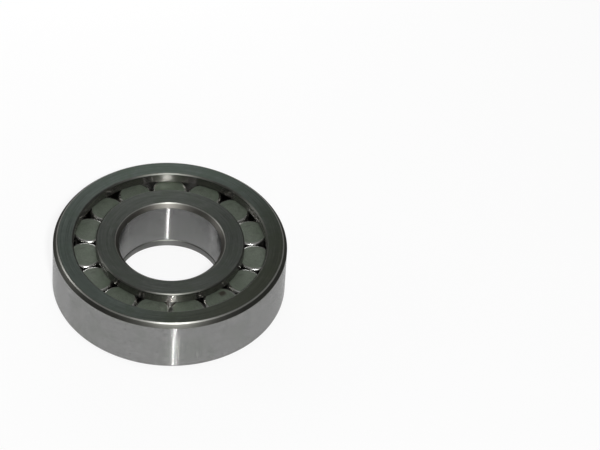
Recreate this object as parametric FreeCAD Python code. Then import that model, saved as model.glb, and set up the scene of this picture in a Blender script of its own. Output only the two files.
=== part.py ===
import FreeCAD, Part

import math
import os

# Single-row, full complement cylindrical roller bearing, in millimetres.
# The bearing's axis is +Z and its lower side face lies on z = 0. The outer ring has two integral
# ribs, the inner ring has one at the top, and a loose flange ring closes the raceway at the bottom.

# Boundary sizes of the assembled bearing
bore_diameter = 35.0
outside_diameter = 80.0
width = 21.0
mounting_chamfer = 1.5  # on the corners that face a shaft's or a housing's fillet

# Roller set
roller_count = 15
roller_gap = 0.10  # left between two neighbours, on the line through their centres
pitch_offset = 0.35  # how far the pitch circle lies outside the middle of bore and outside
roller_corner_radius = 0.8

# Ribs that guide the rollers' ends
rib_width = 4.0  # along the axis, and so the loose flange ring's thickness too
outer_rib_height = 2.1  # above the outer raceway
inner_rib_height = 2.3  # above the inner raceway
outer_rib_chamfer = 0.45
inner_rib_chamfer = 0.4
parting_chamfer = 0.3  # in the bore, where inner ring and loose flange ring meet

# Grinding reliefs in the corners between a raceway and its ribs
relief_width = 0.8
relief_depth = 0.3

# Running clearances
internal_clearance = 0.05  # on the diameter, shared by both raceways
end_clearance = 0.05  # between a roller's end and a rib

bore_radius = bore_diameter / 2
outside_radius = outside_diameter / 2
pitch_radius = (bore_radius + outside_radius) / 2 + pitch_offset
roller_radius = pitch_radius * math.sin(math.pi / roller_count) - roller_gap / 2
roller_length = width - 2 * (rib_width + end_clearance)
inner_raceway_radius = pitch_radius - roller_radius - internal_clearance / 4
outer_raceway_radius = pitch_radius + roller_radius + internal_clearance / 4
inner_rib_radius = inner_raceway_radius + inner_rib_height
outer_rib_bore_radius = outer_raceway_radius - outer_rib_height


def revolved(section):
    """A solid of revolution about Z from the (radius, height) corners of its closed section."""
    corners = [FreeCAD.Vector(radius, 0, height) for radius, height in section]
    face = Part.Face(Part.makePolygon(corners + corners[:1]))
    return face.revolve(FreeCAD.Vector(0, 0, 0), FreeCAD.Vector(0, 0, 1), 360)


def make_outer_ring():
    """Ring with a raceway in its bore between two equal ribs; its section is worked out from the
    lower half and mirrored about mid-width."""
    relief_radius = outer_raceway_radius + relief_depth
    lower_half = [
        (outside_radius, mounting_chamfer),
        (outside_radius - mounting_chamfer, 0),
        (outer_rib_bore_radius + outer_rib_chamfer, 0),
        (outer_rib_bore_radius, outer_rib_chamfer),
        (outer_rib_bore_radius, rib_width),
        (relief_radius, rib_width),
        (relief_radius, rib_width + relief_width),
        (outer_raceway_radius, rib_width + relief_width),
    ]
    upper_half = [(radius, width - height) for radius, height in reversed(lower_half)]
    return revolved(lower_half + upper_half)


def make_inner_ring():
    """Ring with a raceway on its outside and one rib at the top; its foot stands on the loose
    flange ring."""
    relief_radius = inner_raceway_radius - relief_depth
    rib_foot = width - rib_width
    return revolved(
        [
            (bore_radius + parting_chamfer, rib_width),
            (inner_raceway_radius, rib_width),
            (inner_raceway_radius, rib_foot - relief_width),
            (relief_radius, rib_foot - relief_width),
            (relief_radius, rib_foot),
            (inner_rib_radius, rib_foot),
            (inner_rib_radius, width - inner_rib_chamfer),
            (inner_rib_radius - inner_rib_chamfer, width),
            (bore_radius + mounting_chamfer, width),
            (bore_radius, width - mounting_chamfer),
            (bore_radius, rib_width + parting_chamfer),
        ]
    )


def make_loose_flange_ring():
    """Flat ring as thick as a rib: its inner part carries the inner ring's foot and its rim is
    the inner ring's lower rib."""
    return revolved(
        [
            (bore_radius + mounting_chamfer, 0),
            (inner_rib_radius - inner_rib_chamfer, 0),
            (inner_rib_radius, inner_rib_chamfer),
            (inner_rib_radius, rib_width),
            (bore_radius + parting_chamfer, rib_width),
            (bore_radius, rib_width - parting_chamfer),
            (bore_radius, mounting_chamfer),
        ]
    )


def make_roller(angle):
    """Cylinder with rounded end corners, standing on the pitch circle at an angle in degrees."""
    foot = FreeCAD.Vector(0, pitch_radius, rib_width + end_clearance)
    cylinder = Part.makeCylinder(roller_radius, roller_length, foot)
    rims = [edge for edge in cylinder.Edges if isinstance(edge.Curve, Part.Circle)]
    roller = cylinder.makeFillet(roller_corner_radius, rims)
    roller.rotate(FreeCAD.Vector(0, 0, 0), FreeCAD.Vector(0, 0, 1), angle)
    return roller


pieces = {
    "outer_ring": make_outer_ring(),
    "inner_ring": make_inner_ring(),
    "loose_flange_ring": make_loose_flange_ring(),
}
for number in range(roller_count):
    pieces[f"roller_{number + 1:02d}"] = make_roller(number * 360 / roller_count)

os.makedirs("parts", exist_ok=True)
for name, shape in pieces.items():
    shape.exportStep(f"parts/{name}.step")
print(f"roller {2 * roller_radius:.4f} x {roller_length:.2f}, pitch radius {pitch_radius:.3f}")
print(f"raceways {2 * inner_raceway_radius:.4f} and {2 * outer_raceway_radius:.4f}")
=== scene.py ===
import math

import bpy
import numpy as np
from mathutils import Matrix, Vector


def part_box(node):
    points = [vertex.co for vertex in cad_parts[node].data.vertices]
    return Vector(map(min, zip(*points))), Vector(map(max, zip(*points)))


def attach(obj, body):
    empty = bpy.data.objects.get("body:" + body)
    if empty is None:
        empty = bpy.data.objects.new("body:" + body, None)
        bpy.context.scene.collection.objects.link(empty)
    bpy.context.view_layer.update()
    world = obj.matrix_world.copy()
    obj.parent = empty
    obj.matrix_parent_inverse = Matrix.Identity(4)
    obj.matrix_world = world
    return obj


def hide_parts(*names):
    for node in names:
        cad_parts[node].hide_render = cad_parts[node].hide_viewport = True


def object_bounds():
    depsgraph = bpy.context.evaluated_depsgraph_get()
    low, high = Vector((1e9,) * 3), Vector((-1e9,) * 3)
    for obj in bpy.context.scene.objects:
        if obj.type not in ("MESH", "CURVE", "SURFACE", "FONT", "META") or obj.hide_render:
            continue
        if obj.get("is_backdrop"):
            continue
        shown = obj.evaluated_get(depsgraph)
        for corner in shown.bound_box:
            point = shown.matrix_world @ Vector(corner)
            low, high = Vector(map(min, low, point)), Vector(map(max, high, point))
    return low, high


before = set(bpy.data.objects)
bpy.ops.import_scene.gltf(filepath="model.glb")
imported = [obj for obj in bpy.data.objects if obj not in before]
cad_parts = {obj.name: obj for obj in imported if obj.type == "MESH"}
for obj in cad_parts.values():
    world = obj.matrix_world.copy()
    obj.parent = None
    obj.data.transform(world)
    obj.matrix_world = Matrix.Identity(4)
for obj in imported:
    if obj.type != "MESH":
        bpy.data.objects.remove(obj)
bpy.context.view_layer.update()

MM = 0.001

# ---------------------------------------------------------------------------------------------
# Outer ring: one ring of hardened bearing steel, turned and then ground on its faces, outside
# and raceway. The two ribs in its bore are one piece with it and guide the rollers' ends.
# ---------------------------------------------------------------------------------------------

outer_low, outer_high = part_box("outer_ring")
roller_low, roller_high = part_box("roller_01")
outside_radius = min(outer_high.x, outer_high.y, -outer_low.x, -outer_low.y)
width = outer_high.z
rib_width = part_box("loose_flange_ring")[1].z
rib_foot = width - rib_width
roller_radius = (roller_high - roller_low).y / 2
pitch_radius = (roller_high + roller_low).y / 2
raceway_clearance = 0.0125 * MM
outer_raceway_radius = pitch_radius + roller_radius + raceway_clearance
outer_rib_height = 2.1 * MM
outer_rib_bore_radius = outer_raceway_radius - outer_rib_height
mounting_chamfer = 1.5 * MM
outer_rib_chamfer = 0.45 * MM
relief_width = 0.8 * MM
relief_depth = 0.3 * MM
chamfer_crest = 0.07 * MM      # how far a mounting chamfer's crest stands proud of its ends
CREST_CORNER = 6.0 * MM      # wide, because a chamfer turns so little at its crest
BRIGHT_SHARE_RIM = 0.48      # the share of the outer ring's mounting chamfers left bright; the rest is painted shade
FINE_CORNER = 0.25 * MM
SHARP_CORNER = 0.12 * MM
RIB_FOOT_CORNER = 0.32 * MM
# PAINTED_SHADE is painted shade: a dark finish for the crease at a rib's foot and for the parts of
# the mounting chamfers that mirror the dark room.
FACE, EDGE, WALL, RACEWAY, CHAMFER, PAINTED_SHADE = range(6)      # finishes on a ring, in its slots' order
RING_STEPS = 360

# Colours of the steel, darker where it is dull and where shade is painted. The faces
# are tinted greenish.
outer_face_steel = (0.098, 0.117, 0.104)
outer_edge_steel = (0.110, 0.112, 0.102)
outer_wall_steel = (0.315, 0.315, 0.311)
raceway_steel = (0.270, 0.262, 0.246)
chamfer_steel = (0.250, 0.250, 0.232)
# painted shade, for the rib feet and the mounting chamfers' dark parts
painted_shade_steel = (0.062, 0.062, 0.056)
oil_tint = (0.80, 0.86, 0.78)
painted_shade_tint = (0.62, 0.56, 0.48)
speck_brown = (0.045, 0.035, 0.025)
rust_brown = (0.014, 0.010, 0.005)
PAINTED_SHADE_TOWARDS = (0.80, -0.60, 0.0)      # the side of the outer ring's face that is darkened, a painted shade
LINE_DEPTH = 0.0016 * MM      # of the grinding lines


def rounded_section(corners, closed=True, steps=7):
    """Points, outward normals and finishes along a section whose corners are rounded.

    corners has one row per corner, anticlockwise: radius, height, rounding, the finish on the
    rounding, and the finish of the side that leaves it. A corner becomes an arc that touches both
    sides: it starts rounding * tan(turn / 2) before the corner, and from there a point lies at
    rounding times the change of the normal, which turns evenly between the sides' normals."""
    rows = np.asarray(corners, float)
    points, rounding = rows[:, :2], rows[:, 2:3]
    rounded, sides = rows[:, 3:4].astype(int), rows[:, 4:].astype(int)
    ahead = np.roll(points, -1, 0) - points
    if not closed:
        ahead[-1] = ahead[-2]
    ahead /= np.linalg.norm(ahead, axis=1, keepdims=True)
    behind = np.roll(ahead, 1, 0)
    if not closed:
        behind[0] = ahead[0]
    cross = behind[:, 0] * ahead[:, 1] - behind[:, 1] * ahead[:, 0]
    turn = np.arctan2(cross, (behind * ahead).sum(1))[:, None]
    start = points - behind * rounding * np.tan(np.abs(turn) / 2)
    first_normal = behind[:, None, ::-1] * (1, -1)
    angle = (turn * np.linspace(0, 1, steps))[..., None]
    normals = np.cos(angle) * first_normal + np.sin(angle) * behind[:, None]
    path = start[:, None] + (np.sign(turn) * rounding)[..., None] * (normals - first_normal)
    finishes = np.where(np.arange(steps) < steps - 1, rounded, sides)
    path, normals, finishes = path.reshape(-1, 2), normals.reshape(-1, 2), finishes.ravel()
    moves_on = np.linalg.norm(np.roll(path, -1, 0) - path, axis=1) > 1e-9
    return path[moves_on], normals[moves_on], finishes[moves_on]


def mounting_corner(start, end, next_finish, bright_share):
    """The three corners of a mounting chamfer from start to end: its ends, and between them its
    crest, which is chamfer_crest out along the chamfer's own outward normal.

    burnished is the share of the chamfer, from the ring's face to the crest, that is bright. The
    rest, on to the wall, is painted dark, and so is the crest's rounding: painted shade standing
    in for the dark room that they mirror.
    next_finish is that of the side after the chamfer, and tells which of its ends is the wall."""
    start, end = np.array(start), np.array(end)
    along = end - start
    from_face = next_finish == WALL
    parts = (CHAMFER, PAINTED_SHADE) if from_face else (PAINTED_SHADE, CHAMFER)
    share = bright_share if from_face else 1 - bright_share
    crest = start + share * along + along[::-1] * (1, -1) / np.linalg.norm(along) * chamfer_crest
    return [
        (*start, FINE_CORNER, EDGE, parts[0]),
        (*crest, CREST_CORNER, PAINTED_SHADE, parts[1]),
        (*end, FINE_CORNER, EDGE, next_finish),
    ]


def turned_piece(name, section, materials, centre=(0, 0), steps=RING_STEPS):
    """A surface of revolution about the upright line through centre.

    Point m of the section, at radius r and height z, goes round at centre + r * (cos a, sin a) for
    evenly spaced angles a, and its normal goes round with it. A closed section makes a ring. One
    that starts and ends on the axis makes a solid: there all angles share one vertex, and a face
    drops the corner that it has twice. The UV map is (turns round, millimetres along section)."""
    path, normals, finishes = section
    count = len(path)
    closed = path[0, 0] > 0
    angle = np.linspace(0, 2 * math.pi, steps, endpoint=False)[:, None]
    spin = np.stack([np.cos(angle), np.sin(angle), np.ones_like(angle)], -1)
    places = (spin * path[:, [0, 0, 1]] + (*centre, 0)).reshape(-1, 3)
    outward = (spin * normals[:, [0, 0, 1]]).reshape(-1, 3)
    vertex = np.arange(steps * count).reshape(steps, count)
    if not closed:
        vertex[:, 0], vertex[:, -1] = vertex[0, 0], vertex[0, -1]
    grid = vertex[:, :, None] + np.zeros(4, int)
    grid[..., 1] = np.roll(vertex, -1, 0)
    grid[..., 2] = np.roll(grid[..., 1], -1, 1)
    grid[..., 3] = np.roll(vertex, -1, 1)
    run = np.r_[0, np.linalg.norm(np.diff(path, axis=0, append=path[:1]), axis=1).cumsum()] / MM
    u = (np.arange(steps)[:, None, None] + (0, 1, 1, 0)) / steps + np.zeros((1, count, 1))
    v = run[np.arange(count)[:, None] + (0, 0, 1, 1)] + np.zeros((steps, 1, 1))
    last = count if closed else count - 1
    grid, u, v = (block[:, :last].reshape(-1, 4) for block in (grid, u, v))
    keep = grid != np.roll(grid, -1, 1)
    used, corners = np.unique(grid[keep], return_inverse=True)
    sizes = keep.sum(1)

    mesh = bpy.data.meshes.new(name)
    mesh.vertices.add(len(used))
    mesh.vertices.foreach_set("co", places[used].ravel())
    mesh.loops.add(len(corners))
    mesh.loops.foreach_set("vertex_index", corners.ravel())
    mesh.polygons.add(len(sizes))
    mesh.polygons.foreach_set("loop_start", np.r_[0, sizes.cumsum()[:-1]])
    mesh.polygons.foreach_set("material_index", np.tile(finishes[:last], steps))
    mesh.polygons.foreach_set("use_smooth", np.ones(len(sizes), bool))
    layer = mesh.uv_layers.new(name="turned")
    layer.data.foreach_set("uv", np.stack([u[keep], v[keep]], -1).ravel())
    mesh.update(calc_edges=True)
    mesh.validate()
    mesh.normals_split_custom_set_from_vertices(outward[used].tolist())
    for material in materials:
        mesh.materials.append(material)
    piece = bpy.data.objects.new(name, mesh)
    bpy.context.scene.collection.objects.link(piece)
    return piece


class Signal:
    """A shader socket that sums can be written with: each operator adds its Math node."""

    def __init__(self, finish, socket):
        self.finish, self.socket = finish, socket

    def maths(self, operation, *others):
        return self.finish.node("Math", {"operation": operation}, (self, *others))

    def __add__(self, other):
        return self.maths("ADD", other)

    def __sub__(self, other):
        return self.maths("SUBTRACT", other)

    def __mul__(self, other):
        return self.maths("MULTIPLY", other)

    def __rsub__(self, other):
        return self.finish.node("Math", {"operation": "SUBTRACT"}, (other, self))

    __radd__, __rmul__ = __add__, __mul__


class Finish:
    """One material's node tree, from an empty start."""

    def __init__(self, name, material=None):
        self.owner = material or bpy.data.materials.new(name)
        self.owner.use_nodes = True
        self.tree = self.owner.node_tree
        self.tree.nodes.clear()

    def node(self, kind, settings=None, sockets=(), output=0):
        """Adds a node: its settings first, then the values or links of its sockets, by place or by
        name. stops, for a ramp, is a list of (place, colour). Gives the output asked for."""
        made = self.tree.nodes.new("ShaderNode" + kind)
        for key, value in (settings or {}).items():
            if key == "stops":
                ramp = made.color_ramp
                while len(ramp.elements) < len(value):
                    ramp.elements.new(0.5)
                for element, (place, colour) in zip(ramp.elements, value):
                    element.position, element.color = place, (*colour, 1)
            else:
                setattr(made, key, value)
        for key, value in sockets.items() if isinstance(sockets, dict) else enumerate(sockets):
            if isinstance(value, Signal):
                self.tree.links.new(value.socket, made.inputs[key])
            elif isinstance(value, tuple) and made.inputs[key].type == "RGBA":
                made.inputs[key].default_value = (*value, 1)
            else:
                made.inputs[key].default_value = value
        return Signal(self, made.outputs[output]) if made.outputs else made

    def noise(self, vector, scale, detail=3.0, roughness=0.5, distortion=0.0):
        sockets = {
            "Vector": vector,
            "Scale": scale,
            "Detail": detail,
            "Roughness": roughness,
            "Distortion": distortion,
        }
        return self.node("TexNoise", {}, sockets, "Fac")

    def rising(self, signal, low, high):
        """0 below low, 1 above high, and a smooth rise between."""
        settings = {"interpolation_type": "SMOOTHSTEP"}
        return self.node("MapRange", settings, {"Value": signal, "From Min": low, "From Max": high})

    def colours(self, factor, first, second, blend="MIX"):
        settings = {"data_type": "RGBA", "blend_type": blend}
        return self.node("Mix", settings, {0: factor, 6: first, 7: second}, 2)


def ground_steel(
    name,
    steel,
    roughness,
    brushed=0.0,
    grind=1.0,
    spread=0.0,
    waves=0.0,
    oil=1.0,
    matt=0.0,
    rim=1.0,
    shaded_side=None,
    stain=None,
):
    """Ground bearing steel: fine grinding lines round the axis, oil smears and handling marks.

    brushed is how far the lines spread a highlight across themselves. grind is how strong the
    lines are, in depth and in tone, and waves how high the shallow swells under them stand.
    spread tips the normal of a wall up and down by up to about that slope, at random from one
    fine furrow to the next. oil is how much film is left on the surface, and pooled the level
    direction towards which the colour darkens, as painted shade. matt is the share of the light
    that the surface scatters, rim how bright the steel gets edge on, and stain the middle of a
    small rusty spot.

    Noise on place counts its patterns per metre. The beds of lines and furrows follow the turned
    surface instead: run is in millimetres along the section, across and along go round with it."""
    finish = Finish(name)
    place = finish.node("TexCoord", output="Object")
    turned = finish.node("UVMap", {"uv_map": "turned"})
    turns = finish.node("SeparateXYZ", {}, [turned], "X")
    run = finish.node("SeparateXYZ", {}, [turned], "Y")
    angle = turns * (2 * math.pi)
    across, along = angle.maths("COSINE"), angle.maths("SINE")
    long_lines = finish.node("CombineXYZ", {}, [run * 2.6, across * 1.6, along * 1.6])
    short_lines = finish.node("CombineXYZ", {}, [run * 7.0, across * 3.0, along * 3.0])
    coarse = finish.noise(long_lines, 1.0, 4.0, 0.62)
    fine = finish.noise(short_lines, 1.0, 3.0, 0.6)
    smears = finish.noise(place, 95.0, 4.0, 0.55, 0.7)
    mottle = finish.noise(place, 620.0, 3.0, 0.6)
    film = finish.rising(smears, 0.42, 0.68) * oil
    scratch_bed = finish.node("VectorMath", {"operation": "MULTIPLY"}, [place, (1.0, 0.35, 0.6)])
    crossing = finish.noise(scratch_bed, 210.0, 1.0, 0.4, 1.4) - 0.5
    scratches = 1.0 - finish.rising(crossing.maths("ABSOLUTE"), 0.0, 0.0035)
    scratches = scratches * finish.rising(finish.noise(place, 70.0, 1.0), 0.55, 0.62)
    specks = finish.rising(finish.noise(place, 1500.0, 1.0, 0.4), 0.735, 0.775)

    tone = (coarse - 0.5) * (0.70 * grind) + (fine - 0.5) * (0.55 * grind) + (mottle - 0.5) * 0.35
    shade = finish.node("CombineColor", {}, [tone + 1.0, tone + 1.0, tone + 1.0])
    colour = finish.colours(1.0, steel, shade, "MULTIPLY")
    oily = tuple(part * tint for part, tint in zip(steel, oil_tint))
    colour = finish.colours(film * 0.75, colour, oily)
    colour = finish.colours(scratches * 0.30, colour, tuple(part * 1.8 for part in steel))
    colour = finish.colours(specks * 0.55, colour, speck_brown)
    # painted shade: the colour darkens towards one side of the ring
    if shaded_side:
        shade_starts, shade_is_full, straying = -4 * MM, 40 * MM, 16 * MM
        reach = finish.node("VectorMath", {"operation": "DOT_PRODUCT"}, [place, shaded_side], "Value")
        painted_side_shade = finish.rising(reach + (smears - 0.5) * straying, shade_starts, shade_is_full)
        colour = finish.colours(painted_side_shade, colour, painted_shade_tint, "MULTIPLY")
    gloss = film * 0.07 + (mottle - 0.5) * 0.10 + (fine - 0.5) * (0.10 * grind) + roughness
    metal = (1.0 - matt) - specks * (0.5 * (1.0 - matt))
    if stain:
        full_rust, clean_steel, raggedness = 0.6 * MM, 1.9 * MM, 1.3 * MM
        away = finish.node("VectorMath", {"operation": "DISTANCE"}, [place, stain], "Value")
        ragged = away + (finish.noise(place, 900.0, 3.0, 0.6) - 0.5) * raggedness
        rust = 1.0 - finish.rising(ragged, full_rust, clean_steel)
        colour = finish.colours(rust * 0.95, colour, rust_brown)
        gloss = gloss + rust * 0.22
        metal = metal - rust * 0.6
    height = (coarse - 0.5) * (1.6 * grind) + (fine - 0.5) * grind - scratches * 1.2
    normal = finish.node("Bump", {}, {"Strength": 1.0, "Distance": LINE_DEPTH, "Height": height})
    if waves:
        swell = finish.noise(place, 650.0, 1.0, 0.5)
        sockets = {"Strength": 1.0, "Distance": waves, "Height": swell, "Normal": normal}
        normal = finish.node("Bump", {}, sockets)
    if spread:
        furrow_bed = finish.node("CombineXYZ", {}, [run * 80.0, across * 150.0, along * 150.0])
        tip = (finish.noise(furrow_bed, 1.0, 1.0, 0.5) - 0.5) * (2 * spread)
        settings = {"vector_type": "NORMAL", "convert_from": "OBJECT", "convert_to": "WORLD"}
        upward = finish.node("VectorTransform", settings, [(0.0, 0.0, 1.0)])
        tipped = finish.node("VectorMath", {"operation": "MULTIPLY_ADD"}, [upward, tip, normal])
        normal = finish.node("VectorMath", {"operation": "NORMALIZE"}, [tipped])
    sockets = {
        "Base Color": colour,
        "Metallic": metal,
        "Roughness": gloss,
        "Normal": normal,
        "Specular Tint": (rim, rim, rim),
        "Anisotropic": brushed,
        "Anisotropic Rotation": 0.25,
    }
    shader = finish.node("BsdfPrincipled", {}, sockets)
    finish.node("OutputMaterial", {}, {"Surface": shader})
    return finish.owner


outer_corners = [
    (outer_rib_bore_radius + outer_rib_chamfer, 0, FINE_CORNER, EDGE, FACE),
    *mounting_corner(
        (outside_radius - mounting_chamfer, 0),
        (outside_radius, mounting_chamfer),
        WALL,
        BRIGHT_SHARE_RIM,
    ),
    *mounting_corner(
        (outside_radius, width - mounting_chamfer),
        (outside_radius - mounting_chamfer, width),
        FACE,
        BRIGHT_SHARE_RIM,
    ),
    (outer_rib_bore_radius + outer_rib_chamfer, width, FINE_CORNER, EDGE, EDGE),
    (outer_rib_bore_radius, width - outer_rib_chamfer, FINE_CORNER, EDGE, RACEWAY),
    # the rib's feet are rounded in painted shade, a dark line where the rib meets the rollers' ends
    (outer_rib_bore_radius, rib_foot, RIB_FOOT_CORNER, PAINTED_SHADE, RACEWAY),
    (outer_raceway_radius + relief_depth, rib_foot, SHARP_CORNER, EDGE, EDGE),
    (outer_raceway_radius + relief_depth, rib_foot - relief_width, SHARP_CORNER, EDGE, EDGE),
    (outer_raceway_radius, rib_foot - relief_width, SHARP_CORNER, EDGE, RACEWAY),
    (outer_raceway_radius, rib_width + relief_width, SHARP_CORNER, EDGE, EDGE),
    (outer_raceway_radius + relief_depth, rib_width + relief_width, SHARP_CORNER, EDGE, EDGE),
    (outer_raceway_radius + relief_depth, rib_width, SHARP_CORNER, EDGE, RACEWAY),
    (outer_rib_bore_radius, rib_width, RIB_FOOT_CORNER, PAINTED_SHADE, RACEWAY),
    (outer_rib_bore_radius, outer_rib_chamfer, FINE_CORNER, EDGE, EDGE),
]
edge_finish = ground_steel("ring_edge", outer_edge_steel, 0.42, grind=0.3, oil=0.5, rim=0.4)
raceway_finish = ground_steel(
    "raceway", raceway_steel, 0.18, brushed=0.9, grind=0.4, spread=2.3, oil=0.3
)
chamfer_finish = ground_steel(
    "mounting_chamfer", chamfer_steel, 0.36, grind=0.3, oil=0.5, matt=0.25, rim=0.4
)
# painted shade on the chamfers' dark parts and in the crease at the rib feet
painted_shade_finish = ground_steel("chamfer_painted_shade", painted_shade_steel, 0.44, grind=0.3, oil=0.5, rim=0.4)
outer_finishes = [
    ground_steel(
        "outer_face", outer_face_steel, 0.42, brushed=0.35, grind=1.7, shaded_side=PAINTED_SHADE_TOWARDS
    ),
    edge_finish,
    ground_steel(
        "outer_wall",
        outer_wall_steel,
        0.13,
        brushed=0.9,
        grind=0.3,
        spread=2.1,
        waves=0.034 * MM,
        oil=0.4,
        rim=0.6,
    ),
    raceway_finish,
    chamfer_finish,
    painted_shade_finish,
]
outer_ring = turned_piece("outer_ring_ground", rounded_section(outer_corners), outer_finishes)
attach(outer_ring, "outer_ring")
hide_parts("outer_ring")

# ---------------------------------------------------------------------------------------------
# Rollers: plain cylinders of the same steel, as many as the raceways hold. Their sides are
# superfinished, their ends ground flat, and the corners between are tumbled round.
# ---------------------------------------------------------------------------------------------

ROLLER_STEPS = 96
roller_corner = 0.8 * MM
end_steel = (0.124, 0.145, 0.114)
corner_steel = (0.42, 0.42, 0.40)
side_steel = (0.30, 0.30, 0.295)
end_look = {"steel": end_steel, "roughness": 0.38, "grind": 1.6, "oil": 0.8, "matt": 0.60}
STAINED = "roller_10"
stain_right = 0.6 * MM      # from the middle of that roller's end
stain_back = 2.9 * MM

corner_finish = ground_steel("roller_corner", corner_steel, 0.26, grind=0.4, oil=0.3)
side_finish = ground_steel("roller_side", side_steel, 0.22, brushed=0.85, grind=0.4, oil=0.3)
end_finish = ground_steel("roller_end", **end_look)
for name in sorted(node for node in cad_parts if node.startswith("roller_")):
    low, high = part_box(name)
    middle = (low + high) / 2
    own_end = end_finish
    if name == STAINED:
        spot = (middle.x + stain_right, middle.y + stain_back, high.z)
        own_end = ground_steel("roller_end_stained", stain=spot, **end_look)
    section = rounded_section(
        [
            (0, low.z, 0, FACE, FACE),
            (roller_radius, low.z, roller_corner, EDGE, WALL),
            (roller_radius, high.z, roller_corner, EDGE, FACE),
            (0, high.z, 0, FACE, FACE),
        ],
        closed=False,
    )
    materials = [own_end, corner_finish, side_finish]
    roller = turned_piece(name + "_ground", section, materials, (middle.x, middle.y), ROLLER_STEPS)
    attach(roller, name)
    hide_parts(name)

# ---------------------------------------------------------------------------------------------
# Inner ring: a ground steel ring with the inner raceway and one rib, which is the flat ring seen
# inside the rollers. It presses onto the shaft against the loose flange ring below it.
# ---------------------------------------------------------------------------------------------

bore_radius = 17.5 * MM
inner_raceway_radius = pitch_radius - roller_radius - raceway_clearance
inner_rib_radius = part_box("inner_ring")[1].x
inner_rib_chamfer = 0.4 * MM
parting_chamfer = 0.3 * MM
inner_face_steel = (0.088, 0.096, 0.086)
inner_wall_steel = (0.255, 0.255, 0.253)
# painted shade in the bore's chamfers and at the inner rib's foot
bore_painted_shade_steel = (0.110, 0.106, 0.096)
BRIGHT_SHARE_BORE = 0.42      # the same share in the bore, a little less than on the outer ring

inner_corners = [
    (bore_radius + parting_chamfer, rib_width, SHARP_CORNER, EDGE, FACE),
    (inner_raceway_radius, rib_width, SHARP_CORNER, EDGE, RACEWAY),
    (inner_raceway_radius, rib_foot - relief_width, SHARP_CORNER, EDGE, EDGE),
    (inner_raceway_radius - relief_depth, rib_foot - relief_width, SHARP_CORNER, EDGE, EDGE),
    (inner_raceway_radius - relief_depth, rib_foot, SHARP_CORNER, EDGE, RACEWAY),
    # the rib's foot is rounded in painted shade
    (inner_rib_radius, rib_foot, RIB_FOOT_CORNER, PAINTED_SHADE, RACEWAY),
    (inner_rib_radius, width - inner_rib_chamfer, FINE_CORNER, EDGE, EDGE),
    (inner_rib_radius - inner_rib_chamfer, width, FINE_CORNER, EDGE, FACE),
    *mounting_corner(
        (bore_radius + mounting_chamfer, width),
        (bore_radius, width - mounting_chamfer),
        WALL,
        BRIGHT_SHARE_BORE,
    ),
    (bore_radius, rib_width + parting_chamfer, SHARP_CORNER, EDGE, EDGE),
]
bore_painted_shade_finish = ground_steel("bore_painted_shade", bore_painted_shade_steel, 0.46, grind=0.3, oil=0.5, rim=0.5)
inner_finishes = [
    ground_steel("inner_face", inner_face_steel, 0.42, brushed=0.35, grind=1.7),
    edge_finish,
    ground_steel(
        "inner_wall", inner_wall_steel, 0.13, brushed=0.9, grind=0.3, spread=2.6, oil=0.4, rim=0.8
    ),
    raceway_finish,
    chamfer_finish,
    bore_painted_shade_finish,
]
inner_ring = turned_piece("inner_ring_ground", rounded_section(inner_corners), inner_finishes)
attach(inner_ring, "inner_ring")
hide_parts("inner_ring")

# ---------------------------------------------------------------------------------------------
# Loose flange ring: a flat ground ring, as thick as a rib, that lies under the inner ring and
# closes its raceway. Only a nut or shoulder on the shaft holds it there.
# ---------------------------------------------------------------------------------------------

flange_wall_steel = (0.17, 0.17, 0.165)
flange_corners = [
    *mounting_corner(
        (bore_radius, mounting_chamfer),
        (bore_radius + mounting_chamfer, 0),
        FACE,
        BRIGHT_SHARE_BORE,
    ),
    (inner_rib_radius - inner_rib_chamfer, 0, FINE_CORNER, EDGE, EDGE),
    (inner_rib_radius, inner_rib_chamfer, FINE_CORNER, EDGE, RACEWAY),
    (inner_rib_radius, rib_width, SHARP_CORNER, EDGE, FACE),
    (bore_radius + parting_chamfer, rib_width, SHARP_CORNER, EDGE, EDGE),
    (bore_radius, rib_width - parting_chamfer, SHARP_CORNER, EDGE, WALL),
]
flange_finishes = [
    ground_steel("flange_face", inner_face_steel, 0.42, brushed=0.35),
    edge_finish,
    ground_steel("flange_wall", flange_wall_steel, 0.38, brushed=0.9),
    raceway_finish,
    chamfer_finish,
    bore_painted_shade_finish,
]
flange_section = rounded_section(flange_corners)
flange_ring = turned_piece("loose_flange_ring_ground", flange_section, flange_finishes)
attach(flange_ring, "loose_flange_ring")
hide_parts("loose_flange_ring")

# ---------------------------------------------------------------------------------------------
# Table, lights and camera: a white table top in a plain room that is dark on the camera's side. A
# small square lamp by the camera and a tall narrow one below it draw the bright lines down the
# walls, and two weak ones light the back and the left. The table is clear from below.
# ---------------------------------------------------------------------------------------------

table_half = 3.0
TABLE_DROP = 0.05 * MM      # keeps the table's top clear of the bearing's underside
OWN_WHITE = 0.85      # the share of the table's white that is its own where it is seen or mirrored
floor_mesh = bpy.data.meshes.new("table_top")
floor_corners = np.array([(-1, -1), (1, -1), (1, 1), (-1, 1)]) * table_half
floor_places = np.c_[floor_corners, np.full(4, -TABLE_DROP)]
floor_mesh.from_pydata(floor_places.tolist(), [], [(0, 1, 2, 3)])
table_top = bpy.data.objects.new("table_top", floor_mesh)
bpy.context.scene.collection.objects.link(table_top)
table_top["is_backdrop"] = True

table_finish = Finish("table_white")
seen = table_finish.node("LightPath", output="Is Camera Ray")
mirrored = table_finish.node("LightPath", output="Is Glossy Ray")
passed = table_finish.node("LightPath", output="Is Transmission Ray")
below = table_finish.node("NewGeometry", output="Backfacing")
cloth = table_finish.node("BsdfDiffuse", {}, {"Color": (0.90, 0.90, 0.90)})
glow = table_finish.node("Emission", {}, {"Color": (1.0, 1.0, 1.0), "Strength": 1.0})
clear = table_finish.node("BsdfTransparent")
white = seen.maths("MAXIMUM", mirrored).maths("MAXIMUM", passed)
top = table_finish.node("MixShader", {}, [white * OWN_WHITE, cloth, glow])
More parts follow.
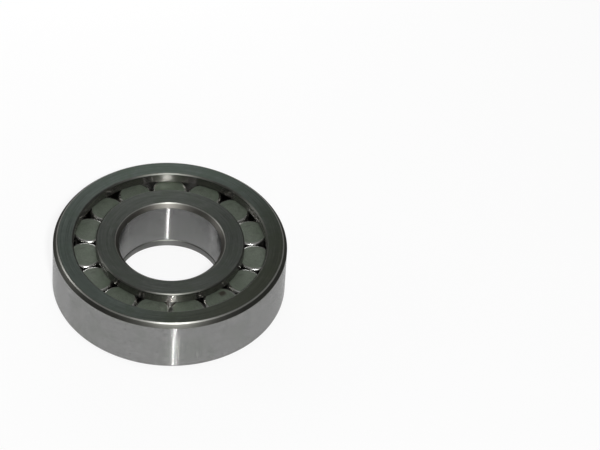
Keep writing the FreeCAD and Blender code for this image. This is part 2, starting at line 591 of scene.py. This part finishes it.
table_finish.node("OutputMaterial", {}, [table_finish.node("MixShader", {}, [below, top, clear])])
floor_mesh.materials.append(table_finish.owner)

# The camera's height above the table and its tilt about its own line of sight, as angles.
elevation = math.radians(44.645)
roll = math.radians(3.959)
turned_by = Matrix.Rotation(math.radians(-4.3), 3, "Z")      # puts roller_01 straight behind

room = Finish("room", bpy.data.worlds.new("room"))
bpy.context.scene.world = room.owner
direction = room.node("TexCoord", output="Generated")
upward = room.node("SeparateXYZ", {}, [direction], "Z")
# The room's ceiling is much paler than its walls, and its darkest part is the floor.
shades = {
    "stops": [
        (0.0, (0.20, 0.20, 0.20)),
        (0.25, (0.22, 0.22, 0.22)),
        (0.60, (0.25, 0.25, 0.25)),
        (0.88, (0.32, 0.32, 0.32)),
        (1.0, (0.80, 0.80, 0.80)),
    ]
}
ceiling = room.node("ValToRGB", shades, [upward])
near_side = tuple(turned_by @ Vector((0, -1, 0)))
DARKNESS = 0.85      # of the room behind the camera
towards = room.node("VectorMath", {"operation": "DOT_PRODUCT"}, [direction, near_side], "Value")
shadow = room.rising(towards, -0.20, 0.35) * DARKNESS
background = room.node("Background", {}, {"Color": ceiling, "Strength": 1.0 - shadow})
room.node("OutputWorld", {}, [background])

# The camera looks down at a point on the table, to the right of the bearing and behind it.
aim = turned_by @ Vector((43.764, 33.425, 0)) * MM
distance = 1.43754      # metres from that point
level_right = turned_by @ Vector((1, 0, 0))
forward = turned_by @ Vector((0, math.cos(elevation), -math.sin(elevation)))
level_up = level_right.cross(forward)
camera_right = math.cos(roll) * level_right + math.sin(roll) * level_up
camera_up = camera_right.cross(forward)
camera_data = bpy.data.cameras.new("camera")
camera_data.sensor_width = 36.0
camera_data.lens = 246.1
camera_data.clip_start = 0.1
camera_data.clip_end = 50.0
camera = bpy.data.objects.new("camera", camera_data)
axes = Matrix((camera_right, camera_up, -forward)).transposed()
camera.matrix_world = Matrix.Translation(aim - distance * forward) @ axes.to_4x4()
bpy.context.scene.collection.objects.link(camera)
bpy.context.scene.camera = camera


def soft_lamp(name, side, height, away, size, power):
    """A rectangular lamp that faces the bearing's middle from away metres. side and height are
    angles in degrees, to the right of the camera and above the table; size is its two sides in
    metres and power in watts."""
    data = bpy.data.lights.new(name, "AREA")
    data.shape = "RECTANGLE"
    data.size, data.size_y = size
    data.energy = power
    side, height = math.radians(side), math.radians(height)
    level = math.cos(height)
    outward = Vector((math.sin(side) * level, -math.cos(side) * level, math.sin(height)))
    lamp = bpy.data.objects.new(name, data)
    lamp.rotation_mode = "QUATERNION"
    lamp.rotation_quaternion = (turned_by @ outward).to_track_quat("Z", "Y")
    lamp.location = turned_by @ outward * away + Vector((0, 0, width / 2))
    lamp.visible_camera = False
    bpy.context.scene.collection.objects.link(lamp)


soft_lamp("flash", 10, 47, 1.45, (0.12, 0.12), 16.0)
soft_lamp("strip", 9, 15, 1.4, (0.010, 0.60), 1.9)
soft_lamp("window", -170, 18, 0.30, (0.20, 0.10), 0.26)
soft_lamp("card", -100, 22, 0.60, (0.20, 0.10), 0.45)
bpy.context.scene.view_settings.view_transform = "Standard"

low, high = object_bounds()
